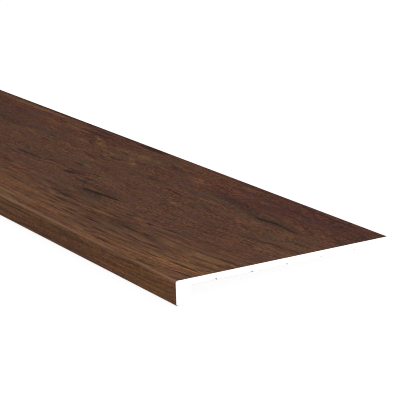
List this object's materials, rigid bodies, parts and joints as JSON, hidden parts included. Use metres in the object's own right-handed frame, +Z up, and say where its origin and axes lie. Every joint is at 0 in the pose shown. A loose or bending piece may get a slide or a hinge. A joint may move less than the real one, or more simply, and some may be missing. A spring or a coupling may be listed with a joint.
{
  "type": "vinyl stair tread",
  "caption": "Long vinyl stair tread with a dropped, eased-edge nose, a dark wood-print film over a white rigid core and saw grooves along its underside; it caps an old step.",
  "frame": {"origin": "on the floor, under the middle of the tread's bounding box, as the tread lies unheld", "axes": "+X along the tread's length, +Y from the nose to the back edge, +Z up. The tread rests on the heel of its nose and on its back edge, so its face slopes down to the back by 4.30 degrees."},
  "size_m": [1.2192, 0.31, 0.0323],
  "materials": {
    "white_core": "matte",
    "wood_print_film": "satin"
  },
  "bodies": {
    "root": {"core": "white_core", "vinyl_film": "wood_print_film"}
  },
  "joints": []
}
